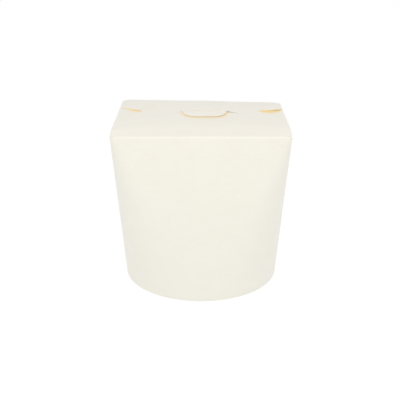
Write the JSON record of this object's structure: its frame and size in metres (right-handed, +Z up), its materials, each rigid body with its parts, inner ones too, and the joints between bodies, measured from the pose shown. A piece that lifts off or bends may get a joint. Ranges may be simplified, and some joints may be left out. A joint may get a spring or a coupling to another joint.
{
  "type": "noodle takeaway box",
  "caption": "Shut takeaway box of folded white board with a round foot, a rectangular lid and a tongue locked through a slit.",
  "frame": {"origin": "centre of the round foot, on the surface that the box stands on", "axes": "+Z up through the lid, -Y towards the front that the picture shows, X along the lid's long side"},
  "size_m": [0.1056, 0.098, 0.1057],
  "materials": {
    "coated_board": "off-white paperboard with a thin matte moisture-proof film",
    "base_board": "off-white paperboard, matte"
  },
  "bodies": {
    "root": {"carton": "coated_board", "base_disc": "base_board"}
  },
  "joints": []
}
